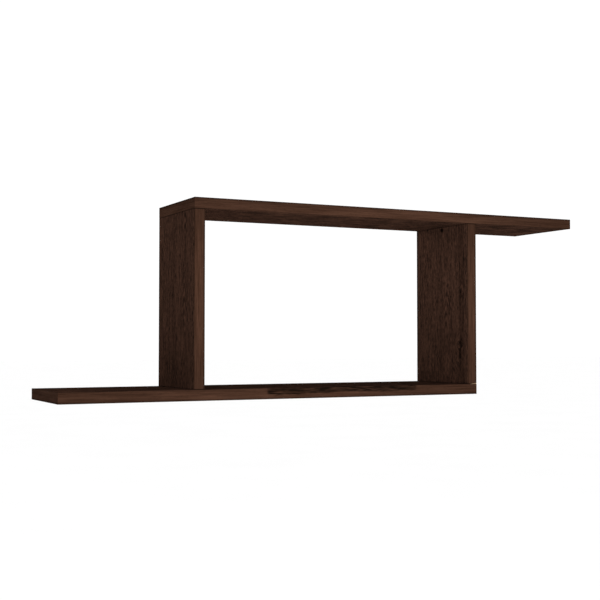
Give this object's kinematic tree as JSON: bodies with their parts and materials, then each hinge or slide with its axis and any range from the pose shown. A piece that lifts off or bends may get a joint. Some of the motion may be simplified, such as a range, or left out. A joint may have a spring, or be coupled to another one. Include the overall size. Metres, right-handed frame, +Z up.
{
  "type": "wall shelf",
  "caption": "Z-shaped wall shelf: long boards stepped sideways above and below upright dividers, cam-locked together and hung on concealed keyhole plates.",
  "frame": {"origin": "on the wall plane, midway between the round entries of the two keyhole hangers", "axes": "+X along the shelf towards the upper board's overhang, +Y towards the wall, +Z up"},
  "size_m": [0.98, 0.17, 0.326],
  "materials": {
    "faced_board": "dark brown printed wood grain on faced chipboard, satin",
    "edge_band": "dark brown printed edging, satin",
    "zinc_plated_steel": "bright zinc plated",
    "zinc_cam": "die-cast zinc, as cast",
    "beech": "bare beech"
  },
  "bodies": {
    "shelf": {"top_board": "faced_board", "top_board_front_band": "edge_band", "top_board_back_band": "edge_band", "top_board_left_band": "edge_band", "top_board_right_band": "edge_band", "bottom_board": "faced_board", "bottom_board_front_band": "edge_band", "bottom_board_back_band": "edge_band", "bottom_board_left_band": "edge_band", "bottom_board_right_band": "edge_band", "left_upright": "faced_board", "left_upright_front_band": "edge_band", "left_upright_back_band": "edge_band", "left_hanger_plate": "zinc_plated_steel", "left_hanger_screws": "zinc_plated_steel", "left_top_cam_bolts": "zinc_plated_steel", "left_top_dowels": "beech", "left_bottom_cam_bolts": "zinc_plated_steel", "left_bottom_dowels": "beech", "right_upright": "faced_board", "right_upright_front_band": "edge_band", "right_upright_back_band": "edge_band", "right_hanger_plate": "zinc_plated_steel", "right_hanger_screws": "zinc_plated_steel", "right_top_cam_bolts": "zinc_plated_steel", "right_top_dowels": "beech", "right_bottom_cam_bolts": "zinc_plated_steel", "right_bottom_dowels": "beech"},
    "left_top_front_cam": {"left_top_front_cam": "zinc_cam"},
    "left_top_back_cam": {"left_top_back_cam": "zinc_cam"},
    "left_bottom_front_cam": {"left_bottom_front_cam": "zinc_cam"},
    "left_bottom_back_cam": {"left_bottom_back_cam": "zinc_cam"},
    "right_top_front_cam": {"right_top_front_cam": "zinc_cam"},
    "right_top_back_cam": {"right_top_back_cam": "zinc_cam"},
    "right_bottom_front_cam": {"right_bottom_front_cam": "zinc_cam"},
    "right_bottom_back_cam": {"right_bottom_back_cam": "zinc_cam"}
  },
  "joints": [
    {"name": "left_top_front_cam_turn", "type": "hinge", "parent": "shelf", "child": "left_top_front_cam", "pos_m": [-0.263, -0.133, 0.011], "axis": [1, 0, 0], "range_deg": [0, 180]},
    {"name": "left_top_back_cam_turn", "type": "hinge", "parent": "shelf", "child": "left_top_back_cam", "pos_m": [-0.263, -0.037, 0.011], "axis": [1, 0, 0], "range_deg": [0, 180]},
    {"name": "left_bottom_front_cam_turn", "type": "hinge", "parent": "shelf", "child": "left_bottom_front_cam", "pos_m": [-0.263, -0.133, -0.211], "axis": [1, 0, 0], "range_deg": [0, 180]},
    {"name": "left_bottom_back_cam_turn", "type": "hinge", "parent": "shelf", "child": "left_bottom_back_cam", "pos_m": [-0.263, -0.037, -0.211], "axis": [1, 0, 0], "range_deg": [0, 180]},
    {"name": "right_top_front_cam_turn", "type": "hinge", "parent": "shelf", "child": "right_top_front_cam", "pos_m": [0.263, -0.133, 0.011], "axis": [1, 0, 0], "range_deg": [0, 180]},
    {"name": "right_top_back_cam_turn", "type": "hinge", "parent": "shelf", "child": "right_top_back_cam", "pos_m": [0.263, -0.037, 0.011], "axis": [1, 0, 0], "range_deg": [0, 180]},
    {"name": "right_bottom_front_cam_turn", "type": "hinge", "parent": "shelf", "child": "right_bottom_front_cam", "pos_m": [0.263, -0.133, -0.211], "axis": [1, 0, 0], "range_deg": [0, 180]},
    {"name": "right_bottom_back_cam_turn", "type": "hinge", "parent": "shelf", "child": "right_bottom_back_cam", "pos_m": [0.263, -0.037, -0.211], "axis": [1, 0, 0], "range_deg": [0, 180]}
  ]
}
